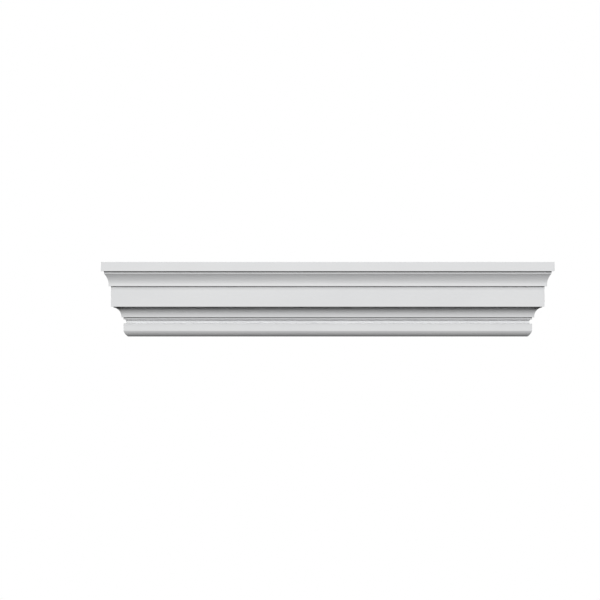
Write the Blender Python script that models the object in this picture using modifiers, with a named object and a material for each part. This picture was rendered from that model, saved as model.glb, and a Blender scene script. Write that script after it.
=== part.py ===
"""Crosshead moulding for the head of a door or window, cast in one piece with returned ends.

Metres, +Z up. The front faces -Y, the flat back lies against the wall in the plane y = 0, and X runs
along the moulding. The origin is the centre of the back face.

The section is a chain of bands. Each band has its own height, and its own step out from the band
below it, so the overall height and projection are sums and any band can be changed by itself.
"""
import math

import bmesh
import bpy

NAME = "crosshead_moulding"
MATERIAL_NAME = "primed_polyurethane"

# The run at the wall is as wide as the opening with its two casings. The ends project past it.
CASING_WIDTH = 1.2192

# Heights of the bands, from the underside up. The quirk is the narrow upright strip over the cove.
BASE_ROUND_HEIGHT = 0.0174
BASE_FACE_HEIGHT = 0.0215
GROOVE_HEIGHT = 0.0124
BAND_HEIGHT = 0.0066
COVE_FOOT_HEIGHT = 0.0029
COVE_HEIGHT = 0.0273
QUIRK_HEIGHT = 0.0023
FRIEZE_HEIGHT = 0.0628
NECK_HEIGHT = 0.0079
CAVETTO_HEIGHT = 0.0302
FILLET_HEIGHT = 0.0079
CROWN_HEIGHT = 0.0286

# The groove's height is that of its round end. Its lower cheek falls by this much towards the face.
GROOVE_FALL = 0.0008

# Depths, from the wall out. GROOVE_WALL is the thickness left behind the groove, and FILLET_LEAN is how
# far the fillet comes forward from its foot to its top.
UNDERSIDE_WIDTH = 0.0020
GROOVE_WALL = 0.00785
GROOVE_CHEEK = 0.0026
COVE_FOOT_STEP = 0.0066
COVE_DEPTH = 0.0242
COVE_SOFFIT = 0.0075
NECK_STEP = 0.00745
CAVETTO_DEPTH = 0.0136
FILLET_LEAN = 0.0011
CROWN_STEP = 0.00865

# The base round starts with a crease, at this angle from the upright face above it, and the cavetto
# leaves the neck below it at a smaller one.
BASE_ROUND_LEAN = math.radians(18)
CAVETTO_LEAN = math.radians(5)

# An arc is drawn with a point at least this often, and edges sharper than the second angle stay crisp.
ARC_STEP = math.radians(5)
CRISP_ANGLE = math.radians(20)

# Points closer than this are one point.
MERGE_DISTANCE = 0.00001

PRIMER_WHITE = (0.83, 0.83, 0.835, 1)
PRIMER_ROUGHNESS = 0.55


def arc(start, end, lean=0):
    """Points of the circle from start to end, both included, as (depth, height).

    The circle leaves the start at an angle of lean from the vertical, towards the end.
    """
    reach = end[0] - start[0]
    rise = end[1] - start[1]
    half_sweep = math.atan2(abs(reach), abs(rise)) - lean
    radius = math.hypot(reach, rise) / (2 * math.sin(half_sweep))
    steps = math.ceil(2 * half_sweep / ARC_STEP)
    points = []
    for step in range(steps + 1):
        heading = lean + 2 * half_sweep * step / steps
        depth = start[0] + math.copysign(radius * (math.cos(lean) - math.cos(heading)), reach)
        height = start[1] + math.copysign(radius * (math.sin(heading) - math.sin(lean)), rise)
        points.append((depth, height))
    return points


def base_points(strip_depth):
    """The underside, the round above it and the flat face of the base strip, up to the groove."""
    points = [(0, 0)]
    points += reversed(arc((strip_depth, BASE_ROUND_HEIGHT), (UNDERSIDE_WIDTH, 0), BASE_ROUND_LEAN))
    points.append((strip_depth, BASE_ROUND_HEIGHT + BASE_FACE_HEIGHT))
    return points


def groove_points(strip_depth, bottom):
    """A groove with a level upper cheek, a half-round end and a sloped lower cheek, and the band above."""
    radius = GROOVE_HEIGHT / 2
    round_bottom = bottom + GROOVE_FALL
    deepest = (GROOVE_WALL, round_bottom + radius)
    cheek_end = GROOVE_WALL + radius
    top = round_bottom + GROOVE_HEIGHT
    points = list(reversed(arc(deepest, (cheek_end, round_bottom))))
    points += arc(deepest, (cheek_end, top))[1:]
    points += [(strip_depth, top), (strip_depth, top + BAND_HEIGHT)]
    return points


def section_points():
    """(depth from the wall, height) all round the section, from the wall under the base and up the front."""
    strip_depth = GROOVE_WALL + GROOVE_HEIGHT / 2 + GROOVE_CHEEK
    points = base_points(strip_depth)
    points += groove_points(strip_depth, points[-1][1])

    foot_depth = strip_depth + COVE_FOOT_STEP
    foot_bottom = points[-1][1]
    foot_top = foot_bottom + COVE_FOOT_HEIGHT
    cove_top = foot_top + COVE_HEIGHT
    quirk_depth = foot_depth + COVE_DEPTH
    points.append((foot_depth, foot_bottom))
    points += arc((foot_depth, foot_top), (quirk_depth, cove_top))

    frieze_depth = quirk_depth + COVE_SOFFIT
    frieze_bottom = cove_top + QUIRK_HEIGHT
    frieze_top = frieze_bottom + FRIEZE_HEIGHT
    points += [(quirk_depth, frieze_bottom), (frieze_depth, frieze_bottom), (frieze_depth, frieze_top)]

    neck_depth = frieze_depth + NECK_STEP
    neck_top = frieze_top + NECK_HEIGHT
    fillet_foot = neck_depth + CAVETTO_DEPTH
    fillet_bottom = neck_top + CAVETTO_HEIGHT
    points.append((neck_depth, frieze_top))
    points += arc((neck_depth, neck_top), (fillet_foot, fillet_bottom), CAVETTO_LEAN)

    fillet_depth = fillet_foot + FILLET_LEAN
    crown_depth = fillet_depth + CROWN_STEP
    crown_bottom = fillet_bottom + FILLET_HEIGHT
    crown_top = crown_bottom + CROWN_HEIGHT
    points += [(fillet_depth, crown_bottom), (crown_depth, crown_bottom), (crown_depth, crown_top)]
    points.append((0, crown_top))
    return points


def extruded_end(mesh, face):
    """Extrudes a face in place and gives the new end face, with vertices that are free to move."""
    result = bmesh.ops.extrude_face_region(mesh, geom=[face])
    return next(part for part in result["geom"] if isinstance(part, bmesh.types.BMFace))


def half_moulding(mesh):
    """The half at +X, open at x = 0: a run along the wall and a mitred return back to it."""
    points = section_points()
    middle = max(height for _, height in points) / 2
    section = mesh.faces.new([mesh.verts.new((0, -depth, height - middle)) for depth, height in points])

    mitre = extruded_end(mesh, section)
    for vertex in mitre.verts:
        vertex.co.x = CASING_WIDTH / 2 - vertex.co.y

    wall_end = extruded_end(mesh, mitre)
    for vertex in wall_end.verts:
        vertex.co.y = 0

    bmesh.ops.delete(mesh, geom=[section, mitre], context="FACES_ONLY")
    bmesh.ops.remove_doubles(mesh, verts=mesh.verts, dist=MERGE_DISTANCE)
    bmesh.ops.recalc_face_normals(mesh, faces=mesh.faces)


def moulding_mesh():
    """The mesh of one half, smooth along its arcs and crisp at its corners."""
    mesh = bmesh.new()
    half_moulding(mesh)
    data = bpy.data.meshes.new(NAME)
    mesh.to_mesh(data)
    mesh.free()
    data.shade_smooth()
    data.set_sharp_from_angle(angle=CRISP_ANGLE)
    return data


def primer_material():
    """White factory primer with a low sheen."""
    material = bpy.data.materials.new(MATERIAL_NAME)
    material.use_nodes = True
    shader = material.node_tree.nodes["Principled BSDF"]
    shader.inputs["Base Color"].default_value = PRIMER_WHITE
    shader.inputs["Roughness"].default_value = PRIMER_ROUGHNESS
    shader.inputs["Metallic"].default_value = 0
    return material


def main():
    """Clears the scene and builds the moulding in a collection of its own."""
    for old in list(bpy.data.objects):
        bpy.data.objects.remove(old)

    collection = bpy.data.collections.new(NAME)
    bpy.context.scene.collection.children.link(collection)
    moulding = bpy.data.objects.new(NAME, moulding_mesh())
    collection.objects.link(moulding)
    moulding.data.materials.append(primer_material())

    mirror = moulding.modifiers.new("mirror", "MIRROR")
    mirror.use_axis = (True, False, False)
    mirror.merge_threshold = MERGE_DISTANCE


main()
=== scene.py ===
"""Looks of the crosshead moulding: its eased, primed surface, and the studio it is seen in.

Metres, +Z up. The front faces -Y, the back lies in the plane y = 0, and X runs along the moulding.
The origin is the centre of the back face.
"""

import logging
import math
from dataclasses import dataclass, field
from enum import Enum
from typing import Any, Union

import bmesh
import bpy
import numpy as np
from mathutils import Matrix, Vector


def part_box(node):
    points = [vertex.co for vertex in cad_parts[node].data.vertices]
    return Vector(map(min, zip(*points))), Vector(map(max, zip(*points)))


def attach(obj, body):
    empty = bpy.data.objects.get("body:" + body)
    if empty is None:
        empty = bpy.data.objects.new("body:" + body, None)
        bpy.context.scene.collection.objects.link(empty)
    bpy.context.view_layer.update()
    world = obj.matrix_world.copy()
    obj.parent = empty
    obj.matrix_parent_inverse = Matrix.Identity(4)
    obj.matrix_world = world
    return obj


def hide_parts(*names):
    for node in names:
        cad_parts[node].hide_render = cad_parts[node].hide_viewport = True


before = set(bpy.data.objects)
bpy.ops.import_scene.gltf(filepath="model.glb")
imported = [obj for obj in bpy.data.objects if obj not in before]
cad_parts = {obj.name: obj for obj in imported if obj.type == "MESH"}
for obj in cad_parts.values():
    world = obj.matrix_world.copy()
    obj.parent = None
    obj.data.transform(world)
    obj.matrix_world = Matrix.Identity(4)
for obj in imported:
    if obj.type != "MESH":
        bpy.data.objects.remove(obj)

NODE = "crosshead_moulding"
BODY = "root"
SLOT = "primed_polyurethane"

log = logging.getLogger("crosshead")

Point = tuple[float, float]


class Easing(Enum):
    """How much an edge of the casting is softened, as the length taken off each side, in metres."""

    NONE = 0.0
    ARRIS = 0.0004
    INNER = 0.0004
    LIP = 0.0003


@dataclass(frozen=True)
class Value:
    """A number socket that takes part in Python expressions. Each operator adds one Math node."""

    tree: "Nodes"
    socket: bpy.types.NodeSocket

    def __add__(self, other: "Operand") -> "Value":
        """Sum."""
        return self.tree.math("ADD", self, other)

    def __radd__(self, other: "Operand") -> "Value":
        """Sum with a plain number first."""
        return self.tree.math("ADD", other, self)

    def __sub__(self, other: "Operand") -> "Value":
        """Difference."""
        return self.tree.math("SUBTRACT", self, other)

    def __rsub__(self, other: "Operand") -> "Value":
        """Difference from a plain number, such as 1 - mask."""
        return self.tree.math("SUBTRACT", other, self)

    def __mul__(self, other: "Operand") -> "Value":
        """Product."""
        return self.tree.math("MULTIPLY", self, other)

    def __rmul__(self, other: "Operand") -> "Value":
        """Product with a plain number first."""
        return self.tree.math("MULTIPLY", other, self)

    def __truediv__(self, other: "Operand") -> "Value":
        """Quotient."""
        return self.tree.math("DIVIDE", self, other)

    def above(self, level: "Operand") -> "Value":
        """1 where the value is over the level, and 0 elsewhere."""
        return self.tree.math("GREATER_THAN", self, level)

    def size(self) -> "Value":
        """The value without its sign."""
        return self.tree.math("ABSOLUTE", self)

    def least(self, other: "Operand") -> "Value":
        """The smaller of two values."""
        return self.tree.math("MINIMUM", self, other)

    def between(self, low: float, high: float) -> "Value":
        """0 below low, 1 above high, and a smooth rise from one to the other."""
        node = self.tree.add(
            "ShaderNodeMapRange",
            {"interpolation_type": "SMOOTHSTEP"},
            {"Value": self, "From Min": low, "From Max": high},
        )
        return Value(self.tree, node.outputs["Result"])


Operand = Union[Value, float, int]


@dataclass(frozen=True)
class Nodes:
    """A node tree that is written as calls and expressions."""

    tree: bpy.types.NodeTree

    def add(self, kind: str, settings: dict[str, Any], inputs: dict[Any, Any]) -> bpy.types.Node:
        """Adds a node.

        Args:
            kind: The node's type.
            settings: Its own properties, set first. "stops" gives a ramp's (place, colour) pairs.
            inputs: Values or sockets for its input sockets, by name or number.

        Returns:
            The node.
        """
        node = self.tree.nodes.new(kind)
        for name, setting in settings.items():
            if name == "stops":
                self._set_stops(node.color_ramp, setting)
            else:
                setattr(node, name, setting)
        for name, given in inputs.items():
            source = given.socket if isinstance(given, Value) else given
            if isinstance(source, bpy.types.NodeSocket):
                self.tree.links.new(source, node.inputs[name])
            else:
                node.inputs[name].default_value = source
        return node

    @staticmethod
    def _set_stops(ramp: bpy.types.ColorRamp, stops: list[tuple[float, float]]) -> None:
        """Gives a ramp its stops, each a place and a grey level."""
        while len(ramp.elements) < len(stops):
            ramp.elements.new(1.0)
        for element, (place, level) in zip(ramp.elements, stops):
            element.position = place
            element.color = (level, level, level, 1)

    def math(self, operation: str, *operands: Operand) -> Value:
        """A Math node on values and numbers."""
        node = self.add("ShaderNodeMath", {"operation": operation}, dict(enumerate(operands)))
        return Value(self, node.outputs[0])

    def place(self) -> bpy.types.NodeSocket:
        """The point on the surface, in metres in the moulding's own frame."""
        return self.add("ShaderNodeTexCoord", {}, {}).outputs["Object"]

    def axes(self) -> tuple[Value, Value, Value]:
        """The X, Y and Z of the point on the surface."""
        split = self.add("ShaderNodeSeparateXYZ", {}, {"Vector": self.place()})
        return tuple(Value(self, output) for output in split.outputs)

    def noise(self, grain: float, detail: float, stretch: tuple[float, float, float] = (1, 1, 1)) -> Value:
        """Soft noise from 0 to 1.

        Args:
            grain: Size of a blotch in metres.
            detail: Number of finer layers.
            stretch: How much longer the blotches are along each axis.

        Returns:
            The noise as a value.
        """
        scale = tuple(1 / length for length in stretch)
        mapped = self.add("ShaderNodeMapping", {}, {"Vector": self.place(), "Scale": scale})
        node = self.add(
            "ShaderNodeTexNoise",
            {},
            {"Vector": mapped.outputs["Vector"], "Scale": 1 / grain, "Detail": detail},
        )
        return Value(self, node.outputs[0])

    def cells(self, grain: float) -> Value:
        """Distance to the nearest of some scattered points, in shares of their spacing."""
        node = self.add("ShaderNodeTexVoronoi", {}, {"Vector": self.place(), "Scale": 1 / grain})
        return Value(self, node.outputs["Distance"])

    def mix(self, share: Operand, first: Any, second: Any) -> bpy.types.NodeSocket:
        """A colour between two colours."""
        node = self.add(
            "ShaderNodeMix", {"data_type": "RGBA"}, {"Factor": share, "A": first, "B": second}
        )
        return node.outputs["Result"]


Colour = tuple[float, float, float, float]


@dataclass(frozen=True)
class PrimerCoat:
    """Sprayed white primer: near-white, with a low sheen and the faint grain of a dried spray."""

    white: Colour = (0.800, 0.806, 0.812, 1)
    cloud: Colour = (0.783, 0.789, 0.797, 1)
    roughness: float = 0.50
    roughness_range: float = 0.10
    cloud_size: float = 0.11
    grain_size: float = 0.0011
    ripple_size: float = 0.014
    grain_share: float = 0.45
    ripple_share: float = 0.25

    def colour(self, nodes: Nodes) -> bpy.types.NodeSocket:
        """White that drifts a little where the coat is thinner, in clouds longer than they are high."""
        cloud = nodes.noise(self.cloud_size, 3, (2.5, 1, 1))
        return nodes.mix(cloud.between(0.35, 0.68), self.white, self.cloud)

    def roughness_value(self, nodes: Nodes) -> Value:
        """Sheen that varies with the coat's ripples."""
        ripple = nodes.noise(self.ripple_size, 2)
        return self.roughness + (ripple - 0.5) * self.roughness_range

    def height(self, nodes: Nodes) -> Value:
        """Fine spray grain on slow ripples, as a height in shares of the bump's distance."""
        grain = nodes.noise(self.grain_size, 2) * self.grain_share
        return grain + nodes.noise(self.ripple_size, 1) * self.ripple_share


@dataclass(frozen=True)
class BareFoam:
    """The unprimed back: dense cream-white foam with fine closed cells, and primer drifted over its rim."""

    skin: Colour = (0.735, 0.700, 0.630, 1)
    shade: Colour = (0.680, 0.640, 0.565, 1)
    roughness: float = 0.82
    cell_size: float = 0.0016
    mottle_size: float = 0.045
    drift_width: float = 0.011
    drift_size: float = 0.012

    def colour(self, nodes: Nodes) -> bpy.types.NodeSocket:
        """Foam skin with soft mottling of its own tone, and fine pores painted darker as painted shade in
        their pits.
        """
        mottle = nodes.noise(self.mottle_size, 4)
        # The pores' darker colour is painted shade, laid on the same pits that the foam's height sinks; the
        # mottling is the foam's own uneven tone.
        pores = 1 - nodes.cells(self.cell_size).between(0.05, 0.28)
        return nodes.mix((mottle.between(0.3, 0.7) * 0.7 + pores * 0.3).least(1), self.skin, self.shade)

    def height(self, nodes: Nodes) -> Value:
        """Closed cells, with their pores as pits."""
        return nodes.cells(self.cell_size).between(0.05, 0.35)


@dataclass
class Section:
    """The moulding's section: bands from the underside up, each a step out from the band below it.

    Depths are measured from the wall and heights from the underside, in metres.
    """

    round_height: float = 0.0174
    base_height: float = 0.0215
    groove_height: float = 0.0124
    groove_fall: float = 0.0008
    band_height: float = 0.0066
    cove_foot_height: float = 0.0029
    cove_height: float = 0.0273
    quirk_height: float = 0.0023
    frieze_height: float = 0.0628
    neck_height: float = 0.0079
    cavetto_height: float = 0.0302
    fillet_height: float = 0.0079
    crown_height: float = 0.0286

    underside_width: float = 0.0020
    groove_wall: float = 0.00785
    groove_cheek: float = 0.0026
    cove_foot_step: float = 0.0066
    cove_depth: float = 0.0242
    cove_soffit: float = 0.0075
    neck_step: float = 0.00745
    cavetto_depth: float = 0.0136
    fillet_lean: float = 0.0011
    crown_step: float = 0.00865

    round_lean: float = math.radians(18)
    cavetto_lean: float = math.radians(5)
    arc_step: float = math.radians(2.5)
    ease_points: int = 5
    ease_room: float = 0.45
    hold_over_ease: float = 1.05
    guard: float = 0.0003
    same_point: float = 1e-6

    @property
    def base_depth(self) -> float:
        """Depth of the base strip and of the band over its groove."""
        return self.groove_wall + self.groove_height / 2 + self.groove_cheek

    @property
    def frieze_depth(self) -> float:
        """Depth of the frieze."""
        return self.base_depth + self.cove_foot_step + self.cove_depth + self.cove_soffit

    @property
    def crown_depth(self) -> float:
        """Depth of the crown, which is the whole projection."""
        neck = self.frieze_depth + self.neck_step
        return neck + self.cavetto_depth + self.fillet_lean + self.crown_step

    def arc(self, start: Point, end: Point, lean: float = 0.0) -> np.ndarray:
        """Points of the circle from one point to another.

        With reach and rise the differences in depth and height, the circle turns by twice the angle
        that is left between the lean and the angle whose tangent is reach / rise. Its radius is the
        distance between the points over twice the sine of that angle.

        Args:
            start: (depth, height) of the first point.
            end: (depth, height) of the last point.
            lean: Angle from the vertical at which the circle leaves the start, towards the end.

        Returns:
            An array of (depth, height) rows, both ends included.
        """
        reach = end[0] - start[0]
        rise = end[1] - start[1]
        half_sweep = math.atan2(abs(reach), abs(rise)) - lean
        radius = math.hypot(reach, rise) / (2 * math.sin(half_sweep))
        heading = np.linspace(lean, lean + 2 * half_sweep, math.ceil(2 * half_sweep / self.arc_step) + 1)
        depth = start[0] + math.copysign(radius, reach) * (math.cos(lean) - np.cos(heading))
        height = start[1] + math.copysign(radius, rise) * (np.sin(heading) - math.sin(lean))
        return np.stack([depth, height], axis=1)

    def runs(self) -> list[tuple[np.ndarray, Easing]]:
        """The section as stretches of points, each with the easing of its points that are corners.

        Returns:
            (points, easing) pairs in order, from the wall under the base and up the front. On a stretch
            of more than one point the inner ones lie on an arc and are never eased.
        """
        base = self.base_depth
        mouth_low = self.round_height + self.base_height
        groove_low = mouth_low + self.groove_fall
        groove_high = groove_low + self.groove_height
        groove_deepest = (self.groove_wall, groove_low + self.groove_height / 2)
        cheek_end = self.groove_wall + self.groove_height / 2
        foot_low = groove_high + self.band_height
        foot_high = foot_low + self.cove_foot_height
        foot = base + self.cove_foot_step
        cove_high = foot_high + self.cove_height
        quirk = foot + self.cove_depth
        frieze_low = cove_high + self.quirk_height
        frieze_high = frieze_low + self.frieze_height
        frieze = self.frieze_depth
        neck = frieze + self.neck_step
        neck_high = frieze_high + self.neck_height
        fillet_foot = neck + self.cavetto_depth
        fillet_low = neck_high + self.cavetto_height
        fillet = fillet_foot + self.fillet_lean
        crown = self.crown_depth
        crown_low = fillet_low + self.fillet_height
        crown_high = crown_low + self.crown_height
        groove = np.concatenate([
            self.arc(groove_deepest, (cheek_end, groove_low))[::-1],
            self.arc(groove_deepest, (cheek_end, groove_high))[1:],
        ])
        base_round = self.arc((base, self.round_height), (self.underside_width, 0), self.round_lean)
        return [
            (np.array([(0, 0)]), Easing.NONE),
            (base_round[::-1], Easing.LIP),
            (np.array([(base, mouth_low)]), Easing.LIP),
            (groove, Easing.NONE),
            (np.array([(base, groove_high), (base, foot_low)]), Easing.LIP),
            (np.array([(foot, foot_low)]), Easing.LIP),
            (self.arc((foot, foot_high), (quirk, cove_high)), Easing.LIP),
            (np.array([(quirk, frieze_low)]), Easing.INNER),
            (np.array([(frieze, frieze_low)]), Easing.ARRIS),
            (np.array([(frieze, frieze_high)]), Easing.INNER),
            (np.array([(neck, frieze_high)]), Easing.ARRIS),
            (self.arc((neck, neck_high), (fillet_foot, fillet_low), self.cavetto_lean), Easing.LIP),
            (np.array([(fillet, crown_low)]), Easing.INNER),
            (np.array([(crown, crown_low), (crown, crown_high)]), Easing.ARRIS),
            (np.array([(0, crown_high)]), Easing.NONE),
        ]

    def outline(self) -> np.ndarray:
        """The whole section with its corners softened.

        A corner p becomes a parabola: (1 - s) squared times its start, plus 2 s (1 - s) times p, plus
        s squared times its end, for s from 0 to 1. Start and end lie on the two sides of the corner,
        as far from p as its easing, or less where a side is short. One more point on each side holds
        the flat faces flat.

        Returns:
            An array of (depth, height) rows from the wall under the base, up the front, to the wall.
        """
        points, ease = [], []
        for run, easing in self.runs():
            points.append(run)
            amounts = np.full(len(run), easing.value)
            if len(run) > 2:
                amounts[:-1] = 0
            ease.append(amounts)
        corner, amount = np.concatenate(points), np.concatenate(ease)
        step = np.diff(corner, axis=0)
        length = np.linalg.norm(step, axis=1)
        heading = step / length[:, None]
        back_way = np.concatenate([[[0, 0]], -heading])
        on_way = np.concatenate([heading, [[0, 0]]])
        room_back = np.concatenate([[0], length]) * self.ease_room
        room_on = np.concatenate([length, [0]]) * self.ease_room
        start = corner + back_way * np.minimum(amount, room_back)[:, None]
        end = corner + on_way * np.minimum(amount, room_on)[:, None]
        hold = np.where(amount > 0, amount + self.guard, 0)
        before = corner + back_way * np.minimum(hold, room_back * self.hold_over_ease)[:, None]
        after = corner + on_way * np.minimum(hold, room_on * self.hold_over_ease)[:, None]
        s = np.linspace(0, 1, self.ease_points)[None, :, None]
        curve = (1 - s) ** 2 * start[:, None] + 2 * s * (1 - s) * corner[:, None] + s ** 2 * end[:, None]
        eased = np.concatenate([before[:, None], curve, after[:, None]], axis=1).reshape(-1, 2)
        apart = np.linalg.norm(np.diff(eased, axis=0), axis=1) > self.same_point
        return eased[np.concatenate([[True], apart])]


@dataclass
class Crosshead:
    """The moulding: its section carried along the wall, round a mitre at each end and back to the wall."""

    section: Section = field(default_factory=Section)
    coat: PrimerCoat = field(default_factory=PrimerCoat)
    foam: BareFoam = field(default_factory=BareFoam)
    mitre_ease: float = 0.0008
    mitre_points: int = 7
    run_stations: int = 16
    return_stations: int = 4
    mitre_room: float = 0.45
    mitre_hold_room: float = 0.47
    mitre_clearance: float = 0.0032
    weld_distance: float = 1e-7
    crisp_angle: float = math.radians(35)
    bump_strength: float = 0.6
    bump_distance: float = 0.00006
    refraction: float = 1.46
    specular_level: float = 0.35
    back_tolerance: float = 0.00005

    def __post_init__(self) -> None:
        """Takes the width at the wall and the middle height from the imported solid."""
        low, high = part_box(NODE)
        self.half_width = (high.x - low.x) / 2 - self.section.crown_depth
        self.bottom = low.z
        self.height = high.z - low.z

    def plan(self, depth: np.ndarray) -> np.ndarray:
        """Plan of the +X half at each depth: out along the run, round the mitre, back along the return.

        At depth d the corner lies at (half width + d, -d). It is softened to a parabola, as the
        section's corners are, whose sides are at most mitre_room times d long, so that it closes up at
        the wall.

        Args:
            depth: Depths from the wall, one for each row of the surface.

        Returns:
            An array of rows by stations by (x, y).
        """
        d = depth[:, None]
        ease = np.minimum(self.mitre_ease, self.mitre_room * d)
        hold = np.minimum(ease + self.section.guard, self.mitre_hold_room * d)
        corner_x = self.half_width + d
        fixed = np.linspace(0, self.half_width - self.mitre_clearance, self.run_stations)[None, :]
        s = np.linspace(0, 1, self.mitre_points)[None, :]
        run_x = np.concatenate([fixed + 0 * d, corner_x - hold], axis=1)
        turn_x = corner_x - ease * (1 - s) ** 2
        turn_y = -d + ease * s ** 2
        share = np.linspace(0, 1, self.return_stations)[None, :]
        return_y = (hold - d) * (1 - share)
        x = np.concatenate([run_x, turn_x, corner_x + 0 * share], axis=1)
        y = np.concatenate([-d + 0 * run_x, turn_y, return_y], axis=1)
        return np.stack([x, y], axis=2)

    def surface(self) -> np.ndarray:
        """The primed surface, as rows of the section by stations along the plan by (x, y, z)."""
        outline = self.section.outline()
        half = self.plan(outline[:, 0])
        mirrored = half[:, :0:-1] * np.array([-1, 1])
        plan = np.concatenate([mirrored, half], axis=1)
        z = np.broadcast_to((self.bottom + outline[:, 1])[:, None, None], plan.shape[:2] + (1,))
        return np.concatenate([plan, z], axis=2)

    def mesh(self) -> bpy.types.Mesh:
        """The closed mesh: the surface's grid, and one face over the back between the grid's four sides."""
        grid = self.surface()
        rows, stations = grid.shape[:2]
        index = np.arange(rows * stations).reshape(rows, stations)
        quads = np.stack(
            [index[:-1, :-1], index[:-1, 1:], index[1:, 1:], index[1:, :-1]], axis=2
        ).reshape(-1, 4)
        rim = np.concatenate([index[:, 0], index[-1, 1:], index[-2::-1, -1], index[0, -2:0:-1]])
        data = bpy.data.meshes.new(NODE)
        data.from_pydata(grid.reshape(-1, 3).tolist(), [], quads.tolist() + [rim.tolist()])
        welded = bmesh.new()
        welded.from_mesh(data)
        bmesh.ops.remove_doubles(welded, verts=welded.verts, dist=self.weld_distance)
        bmesh.ops.recalc_face_normals(welded, faces=welded.faces)
        welded.to_mesh(data)
        welded.free()
        data.shade_smooth()
        data.set_sharp_from_angle(angle=self.crisp_angle)
        return data

    def bare_share(self, nodes: Nodes) -> Value:
        """1 on the bare middle of the back, falling to 0 where primer has drifted over its rim.

        The rim's distance is the least of three: up to the top, down to the underside, and along X to
        the end, which lies half the width plus the section's depth at that height from the middle.
        """
        x, y, z = nodes.axes()
        height = (z - self.bottom) / self.height
        ramp = nodes.add("ShaderNodeValToRGB", {"stops": self.depth_stops()}, {"Fac": height})
        depth = Value(nodes, ramp.outputs["Color"]) * self.section.crown_depth
        to_end = self.half_width + depth - x.size()
        to_level = (z - self.bottom).least(self.bottom + self.height - z)
        drift = (nodes.noise(self.foam.drift_size, 3) - 0.5) * self.foam.drift_width
        rim = to_end.least(to_level) + drift
        return rim.between(0, self.foam.drift_width) * y.above(-self.back_tolerance)

    def depth_stops(self) -> list[tuple[float, float]]:
        """Heights and depths of the section's main faces, as shares of its whole height and depth."""
        section = self.section
        groove_low = section.round_height + section.base_height + section.groove_fall
        foot_low = groove_low + section.groove_height + section.band_height
        cove_high = foot_low + section.cove_foot_height + section.cove_height
        frieze_low = cove_high + section.quirk_height
        frieze_high = frieze_low + section.frieze_height
        crown_low = self.height - section.crown_height
        stops = [
            (0, section.underside_width),
            (section.round_height, section.base_depth),
            (foot_low, section.base_depth),
            (frieze_low, section.frieze_depth),
            (frieze_high, section.frieze_depth),
            (crown_low, section.crown_depth - section.crown_step),
            (crown_low + section.guard, section.crown_depth),
        ]
        return [(at / self.height, depth / section.crown_depth) for at, depth in stops]

    def material(self) -> bpy.types.Material:
        """Primer all over, and bare foam on the middle of the back."""
        material = bpy.data.materials.new(SLOT)
        material.use_nodes = True
        material.node_tree.nodes.clear()
        nodes = Nodes(material.node_tree)
        bare = self.bare_share(nodes)
        colour = nodes.mix(bare, self.coat.colour(nodes), self.foam.colour(nodes))
        coat_roughness = self.coat.roughness_value(nodes)
        roughness = coat_roughness + bare * (self.foam.roughness - self.coat.roughness)
        height = self.coat.height(nodes) * (1 - bare) + self.foam.height(nodes) * bare * 2
        bump = nodes.add("ShaderNodeBump", {}, {
            "Strength": self.bump_strength,
            "Distance": self.bump_distance,
            "Height": height,
        })
        shader = nodes.add("ShaderNodeBsdfPrincipled", {}, {
            "Base Color": colour,
            "Roughness": roughness,
            "Normal": bump.outputs["Normal"],
            "IOR": self.refraction,
            "Specular IOR Level": self.specular_level,
        })
        nodes.add("ShaderNodeOutputMaterial", {}, {"Surface": shader.outputs["BSDF"]})
        return material

    def build(self) -> bpy.types.Object:
        """Makes the piece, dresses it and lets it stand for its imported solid."""
        piece = bpy.data.objects.new("crosshead_casting", self.mesh())
        bpy.context.scene.collection.objects.link(piece)
        piece.data.materials.append(self.material())
        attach(piece, BODY)
        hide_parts(NODE)
        log.info("%s: %d faces, half width %.4f m", piece.name, len(piece.data.polygons), self.half_width)
        return piece


@dataclass(frozen=True)
class SoftBox:
    """A wide, soft area light that is turned to the middle of the moulding."""

    name: str
    elevation: float
    power: float
    azimuth: float = 0.0
    distance: float = 9.0
    width: float = 12.5
    height: float = 1.4

    def build(self) -> bpy.types.Object:
        """Makes the light. Azimuth 0 is in front, and elevation is above the horizon, in degrees."""
        turn, lift = math.radians(self.azimuth), math.radians(self.elevation)
        way = Vector((math.sin(turn) * math.cos(lift), -math.cos(turn) * math.cos(lift), math.sin(lift)))
        light = bpy.data.lights.new(self.name, "AREA")
        light.shape = "RECTANGLE"
        light.size = self.width
        light.size_y = self.height
        light.energy = self.power
        lamp = bpy.data.objects.new(self.name, light)
        lamp.location = way * self.distance
        lamp.rotation_euler = way.to_track_quat("Z", "Y").to_euler()
        lamp.visible_camera = False
        bpy.context.scene.collection.objects.link(lamp)
        log.info("%s: %.0f degrees up, %.1f W", self.name, self.elevation, self.power)
        return lamp


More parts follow.
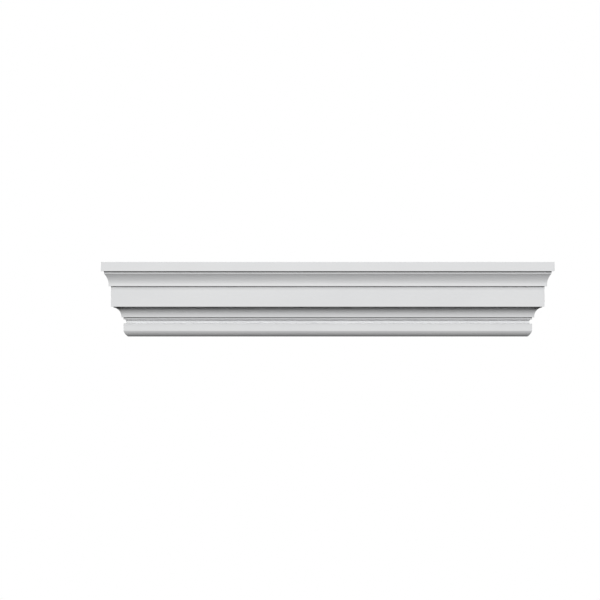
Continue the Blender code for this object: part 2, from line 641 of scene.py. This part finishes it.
@dataclass
class Studio:
    """A white studio with a pale floor well below, and a camera square to the front."""

    metres_per_pixel: float = 0.003066
    frame_pixels: int = 600
    middle_pixel: Point = (327.78, 299.21)
    camera_distance: float = 4.0
    floor_level: float = -1.05
    floor_size: float = 40.0
    floor_paint: Colour = (0.30, 0.30, 0.30, 1)
    floor_glow: Colour = (0.52, 0.52, 0.52, 1)
    floor_roughness: float = 0.9
    backdrop: Colour = (1, 1, 1, 1)
    fade_start: float = 2.0
    fade_end: float = 11.0
    ambient: float = 0.01
    lights: tuple[SoftBox, ...] = (
        SoftBox("front_low", 20, 640),
        SoftBox("front_mid", 30, 200),
        SoftBox("front_high", 54, 240),
        SoftBox("side_left", 14, 330, azimuth=-118, width=4.0),
        SoftBox("side_right", 14, 330, azimuth=118, width=4.0),
        SoftBox("back", 16, 420, azimuth=180),
    )

    def camera(self) -> bpy.types.Object:
        """An orthographic camera, placed so that the moulding's middle falls on its own pixel."""
        data = bpy.data.cameras.new("camera")
        data.type = "ORTHO"
        data.ortho_scale = self.frame_pixels * self.metres_per_pixel
        camera = bpy.data.objects.new("camera", data)
        half = self.frame_pixels / 2
        x = (half - self.middle_pixel[0]) * self.metres_per_pixel
        z = (self.middle_pixel[1] - half) * self.metres_per_pixel
        camera.location = (x, -self.camera_distance, z)
        camera.rotation_euler = (math.radians(90), 0, 0)
        bpy.context.scene.collection.objects.link(camera)
        bpy.context.scene.camera = camera
        return camera

    def world(self) -> None:
        """Pure white to the camera, and a dim even light to everything else."""
        world = bpy.data.worlds.new("studio")
        bpy.context.scene.world = world
        world.use_nodes = True
        world.node_tree.nodes.clear()
        nodes = Nodes(world.node_tree)
        ray = nodes.add("ShaderNodeLightPath", {}, {})
        dim = nodes.add("ShaderNodeBackground", {}, {"Color": self.backdrop, "Strength": self.ambient})
        white = nodes.add("ShaderNodeBackground", {}, {"Color": self.backdrop, "Strength": 1.0})
        mixed = nodes.add("ShaderNodeMixShader", {}, {
            0: ray.outputs["Is Camera Ray"],
            1: dim.outputs["Background"],
            2: white.outputs["Background"],
        })
        nodes.add("ShaderNodeOutputWorld", {}, {"Surface": mixed.outputs["Shader"]})

    def floor(self) -> bpy.types.Object:
        """A flat pale square, z constant, which throws no light back up under the moulding's edges.

        Its glow rises with the distance from the middle, which is the root of x squared plus y squared,
        until it is as white as the backdrop, so that no line parts the two. The glow isn't sampled as a
        light: it reaches nothing, and sampling it makes most of the moulding's shadow lines noisier.
        """
        half = self.floor_size / 2
        side = np.array([-half, half])
        x, y = np.meshgrid(side, side, indexing="ij")
        points = np.stack([x, y, np.full_like(x, self.floor_level)], axis=2).reshape(-1, 3)
        data = bpy.data.meshes.new("floor")
        data.from_pydata(points.tolist(), [], [(0, 2, 3, 1)])
        floor = bpy.data.objects.new("floor", data)
        floor.visible_diffuse = False
        floor.visible_glossy = False
        bpy.context.scene.collection.objects.link(floor)
        material = bpy.data.materials.new("floor")
        material.use_nodes = True
        material.node_tree.nodes.clear()
        nodes = Nodes(material.node_tree)
        x, y, _ = nodes.axes()
        away = nodes.math("SQRT", x * x + y * y)
        shader = nodes.add("ShaderNodeBsdfPrincipled", {}, {
            "Base Color": self.floor_paint,
            "Roughness": self.floor_roughness,
            "Emission Color": nodes.mix(
                away.between(self.fade_start, self.fade_end), self.floor_glow, self.backdrop
            ),
            "Emission Strength": 1.0,
        })
        nodes.add("ShaderNodeOutputMaterial", {}, {"Surface": shader.outputs["BSDF"]})
        material.cycles.emission_sampling = "NONE"
        floor.data.materials.append(material)
        return floor

    def build(self) -> None:
        """Makes the camera, world, floor and lights, and shows colours as they are."""
        self.camera()
        self.world()
        self.floor()
        for light in self.lights:
            light.build()
        bpy.context.scene.view_settings.view_transform = "Standard"


def main() -> None:
    """Builds the studio and the moulding."""
    logging.basicConfig(level=logging.INFO, format="%(name)s: %(message)s")
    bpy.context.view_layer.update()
    Studio().build()
    Crosshead().build()


if __name__ == "__main__":
    main()
